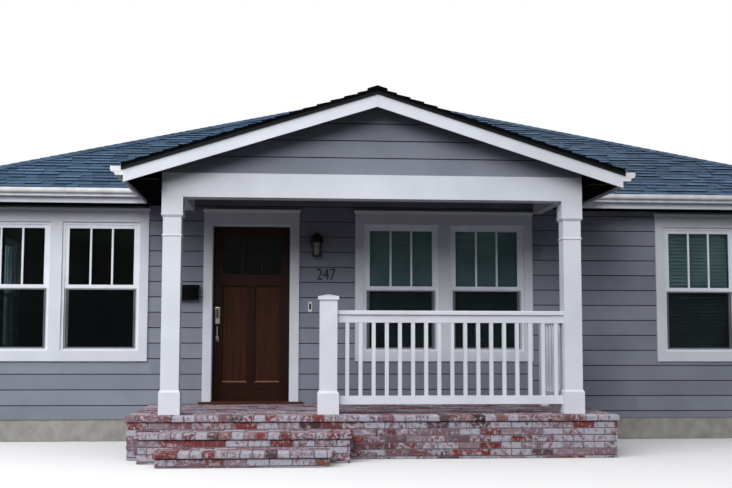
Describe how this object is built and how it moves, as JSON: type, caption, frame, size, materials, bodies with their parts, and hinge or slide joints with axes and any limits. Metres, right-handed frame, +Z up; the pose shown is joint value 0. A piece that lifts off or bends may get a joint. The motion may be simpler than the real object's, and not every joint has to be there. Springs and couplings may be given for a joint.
{
  "type": "bungalow",
  "caption": "Single-storey timber house with a hipped shingle roof, a gabled front porch on square posts, lap siding and a brick deck with steps.",
  "frame": {"origin": "on the ground under the middle of the whole house, steps and gutters included", "axes": "+X along the front to the right seen from the street, +Y from the front steps to the back of the house, +Z up"},
  "size_m": [11.754, 11.617, 4.805],
  "materials": {
    "concrete": "matt",
    "floor_wood": "satin",
    "siding": "satin paint",
    "painted_trim": "satin paint",
    "plaster": "matt",
    "shingles": "mineral granules",
    "gutter_metal": "gloss paint",
    "porch_ceiling_paint": "satin paint",
    "brick": "rough, washed with lime",
    "door_wood": "satin stain",
    "window_glass": "clear",
    "satin_nickel": "satin",
    "window_vinyl": "satin",
    "black_metal": "satin",
    "bell_plastic": "satin"
  },
  "bodies": {
    "house": {"foundation": "concrete", "floor": "floor_wood", "front_wall_left": "siding", "front_wall_right": "siding", "front_wall_over_door": "siding", "side_walls": "siding", "back_wall": "siding", "corner_boards": "painted_trim", "ceiling": "plaster", "roof_front": "shingles", "roof_back": "shingles", "roof_left": "shingles", "roof_right": "shingles", "porch_roof_left": "shingles", "porch_roof_right": "shingles", "fascia_boards": "painted_trim", "soffits": "painted_trim", "gutters": "gutter_metal", "rake_boards": "painted_trim", "gable_wall": "siding", "porch_ceiling": "porch_ceiling_paint", "porch_beam": "painted_trim", "side_beams": "painted_trim", "porch_posts": "painted_trim", "newel_post": "painted_trim", "porch_railing": "painted_trim", "side_railing": "painted_trim", "porch_deck": "brick", "upper_step": "brick", "lower_step": "brick", "door_frame": "painted_trim", "door_casing": "painted_trim", "door_sill": "door_wood", "door_hinges": "satin_nickel", "front_windows": "window_vinyl", "side_windows": "window_vinyl", "window_casings": "painted_trim", "window_glass": "window_glass", "lantern": "black_metal", "mailbox": "black_metal", "doorbell": "bell_plastic", "house_number": "black_metal"},
    "door": {"front_door": "door_wood", "door_glass": "window_glass", "door_handle": "satin_nickel"}
  },
  "joints": [
    {"name": "front_door_hinge", "type": "hinge", "parent": "house", "child": "door", "pos_m": [-1.4085, -2.9617, 0.453], "axis": [0, 0, -1], "range_deg": [0, 100]}
  ]
}
